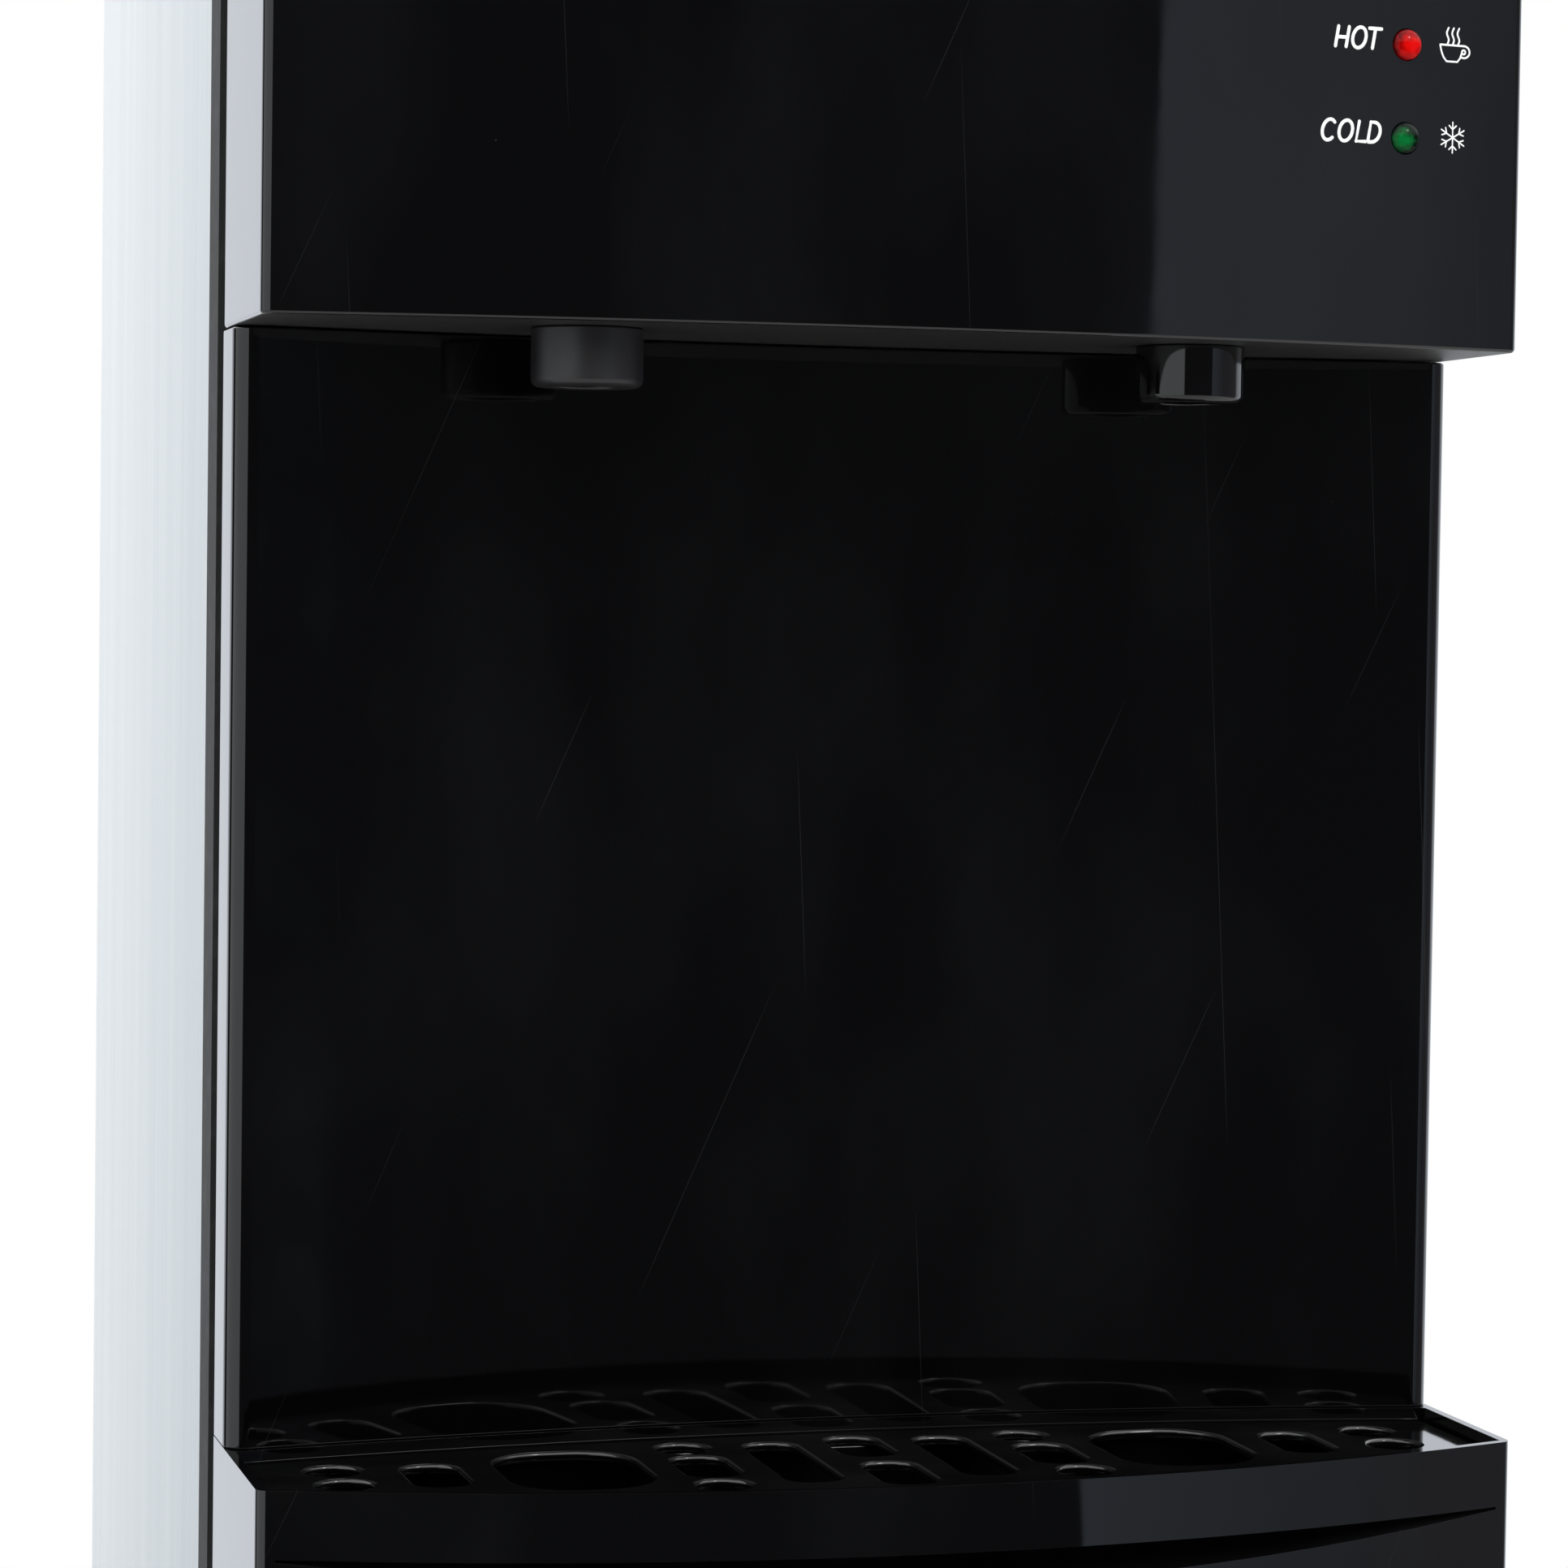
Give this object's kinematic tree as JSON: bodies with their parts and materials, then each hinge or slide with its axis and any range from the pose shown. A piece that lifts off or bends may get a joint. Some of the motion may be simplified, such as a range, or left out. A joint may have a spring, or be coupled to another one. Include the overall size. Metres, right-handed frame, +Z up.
{
  "type": "top-loading water dispenser",
  "caption": "Freestanding hot and cold water dispenser with a bowed plastic front, recessed alcove with twin spouts over a lift-out drip tray, steel sides and an upturned-bottle seat on top.",
  "frame": {"origin": "centre of the bounding box at floor level", "axes": "+X to the right seen from the front, +Y to the rear, +Z up"},
  "size_m": [0.31, 0.3614, 1.04],
  "materials": {
    "gloss_black": "gloss",
    "satin_black": "satin",
    "side_grey": "satin",
    "inner_steel": "satin",
    "stainless": "brushed",
    "black_steel": "satin",
    "copper": "satin",
    "rubber": "matte",
    "clear_hose": "satin",
    "foam": "matte",
    "white_plastic": "satin",
    "red_plastic": "gloss",
    "blue_plastic": "gloss",
    "red_lens": "gloss",
    "green_lens": "gloss",
    "bright_wire": "polished",
    "circuit_board": "satin",
    "cable": "satin"
  },
  "bodies": {
    "cabinet": {"alcove_panel": "gloss_black", "baffle": "white_plastic", "base_pan": "inner_steel", "button_deck": "gloss_black", "capillary_tube": "copper", "cold_indicator": "green_lens", "cold_return_spring": "bright_wire", "cold_spout": "gloss_black", "cold_tank": "stainless", "cold_valve_body": "white_plastic", "cold_water_hose": "clear_hose", "compressor": "black_steel", "compressor_mounts": "rubber", "condenser": "black_steel", "control_box": "white_plastic", "cord_inlet": "satin_black", "drain_fitting": "white_plastic", "drain_hose": "clear_hose", "evaporator_coil": "copper", "feet": "rubber", "filter_drier": "copper", "front_posts": "inner_steel", "head_shell": "gloss_black", "hot_indicator": "red_lens", "hot_return_spring": "bright_wire", "hot_spout": "satin_black", "hot_tank": "stainless", "hot_tank_jacket": "foam", "hot_valve_body": "white_plastic", "hot_water_hose": "clear_hose", "indicator_board": "circuit_board", "left_insulation": "foam", "left_side_panel": "side_grey", "lower_front_panel": "gloss_black", "rear_panel": "inner_steel", "relay_cover": "satin_black", "right_insulation": "foam", "right_side_panel": "side_grey", "screws": "bright_wire", "seat_gasket": "rubber", "suction_tube": "copper", "switch_bezel": "satin_black", "tank_feed_hose": "clear_hose", "tank_shelves": "inner_steel", "tank_thermostats": "white_plastic", "top_cover": "gloss_black", "tray_ledge": "satin_black", "wiring": "cable"},
    "hot_button": {"hot_button": "gloss_black", "hot_plunger": "white_plastic"},
    "cold_button": {"cold_button": "gloss_black", "cold_plunger": "white_plastic"},
    "child_lock": {"child_lock": "red_plastic"},
    "seat": {"bottle_seat": "satin_black", "feed_probe": "white_plastic"},
    "tray": {"drip_tray": "satin_black"},
    "grille": {"drip_grille": "satin_black"},
    "hot_switch": {"hot_switch": "red_plastic"},
    "cold_switch": {"cold_switch": "blue_plastic"},
    "drain_cap": {"drain_cap": "white_plastic"}
  },
  "joints": [
    {"name": "hot_button_press", "type": "slide", "parent": "cabinet", "child": "hot_button", "axis": [0, 0, -1], "range_m": [0, 0.007], "stiffness_N_per_m": 900, "springref_m": -0.004, "deforming": ["hot_return_spring"]},
    {"name": "cold_button_press", "type": "slide", "parent": "cabinet", "child": "cold_button", "axis": [0, 0, -1], "range_m": [0, 0.007], "stiffness_N_per_m": 900, "springref_m": -0.004, "deforming": ["cold_return_spring"]},
    {"name": "child_lock_slide", "type": "slide", "parent": "hot_button", "child": "child_lock", "axis": [0, 0.982, 0.1886], "range_m": [0, 0.006]},
    {"name": "seat_lift", "type": "slide", "parent": "cabinet", "child": "seat", "axis": [0, 0, 1], "range_m": [0, 0.12]},
    {"name": "tray_lift", "type": "slide", "parent": "cabinet", "child": "tray", "axis": [0, 0, 1], "range_m": [0, 0.06]},
    {"name": "grille_lift", "type": "slide", "parent": "tray", "child": "grille", "axis": [0, 0, 1], "range_m": [0, 0.04]},
    {"name": "hot_switch_rock", "type": "hinge", "parent": "cabinet", "child": "hot_switch", "pos_m": [-0.128, 0.15335, 0.925], "axis": [1, 0, 0], "range_deg": [0, 20]},
    {"name": "cold_switch_rock", "type": "hinge", "parent": "cabinet", "child": "cold_switch", "pos_m": [-0.128, 0.15335, 0.899], "axis": [1, 0, 0], "range_deg": [0, 20]},
    {"name": "drain_cap_turn", "type": "hinge", "parent": "cabinet", "child": "drain_cap", "pos_m": [0.07, 0.1685, 0.228], "axis": [0, 1, 0], "range_deg": [0, 360]}
  ]
}
